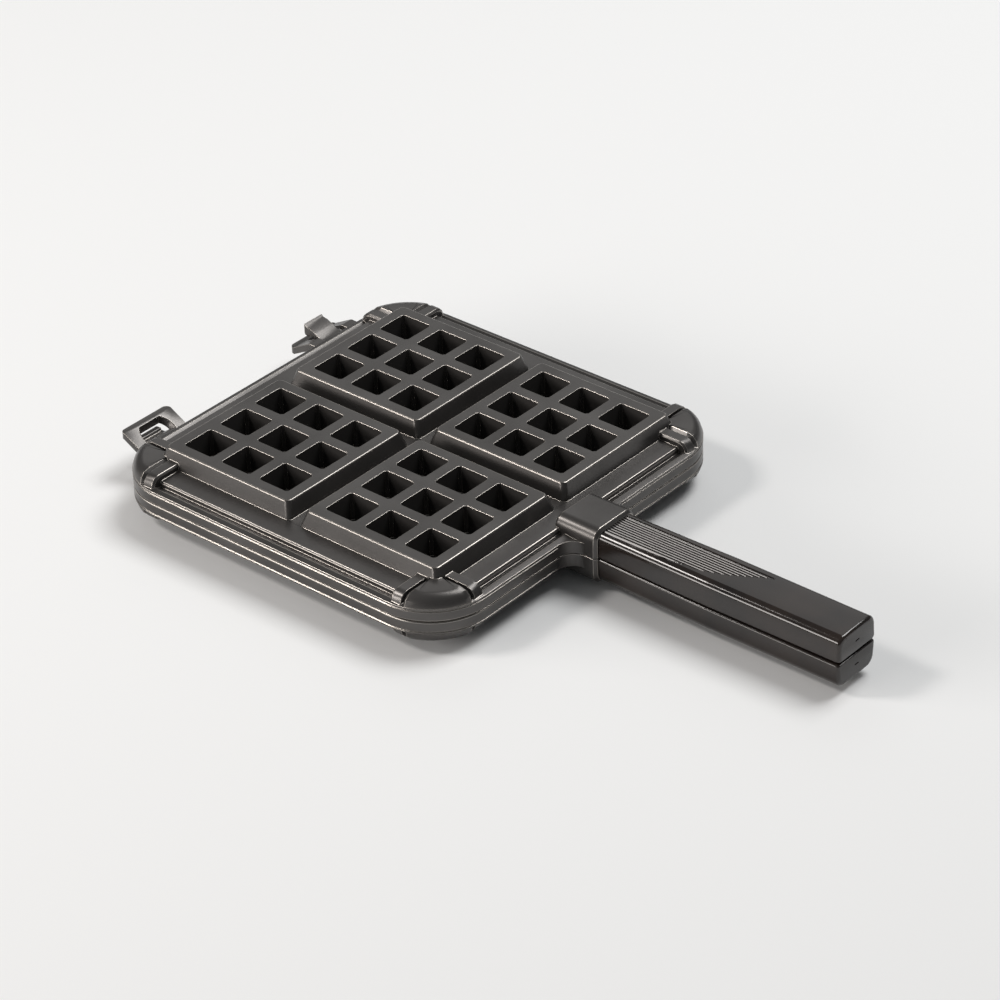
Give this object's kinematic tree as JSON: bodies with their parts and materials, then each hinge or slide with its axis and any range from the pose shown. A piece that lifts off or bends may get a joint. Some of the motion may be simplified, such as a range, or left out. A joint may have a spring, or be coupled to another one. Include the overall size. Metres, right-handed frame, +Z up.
{
  "type": "stovetop waffle iron",
  "caption": "Square cast waffle iron for the hob: two hinged non-stick halves with raised pocket blocks and moulded handles.",
  "frame": {"origin": "middle of the closed iron's box in plan, on the plane the lower half stands on", "axes": "+X from the hinge to the handles, +Z up through the closed halves, +Y across"},
  "size_m": [0.3988, 0.222, 0.0365],
  "materials": {
    "nonstick_casting": "dark satin non-stick coating",
    "handle_moulding": "glossy brown-black thermoset",
    "screw_steel": "plain steel"
  },
  "bodies": {
    "lower_half": {"lower_plate": "nonstick_casting", "lower_handle": "handle_moulding", "lower_handle_screw": "screw_steel"},
    "upper_half": {"upper_plate": "nonstick_casting", "upper_handle": "handle_moulding", "upper_handle_screw": "screw_steel"}
  },
  "joints": [
    {"name": "hinge", "type": "hinge", "parent": "lower_half", "child": "upper_half", "pos_m": [-0.1971, 0, 0.01825], "axis": [0, -1, 0], "range_deg": [0, 100]}
  ]
}
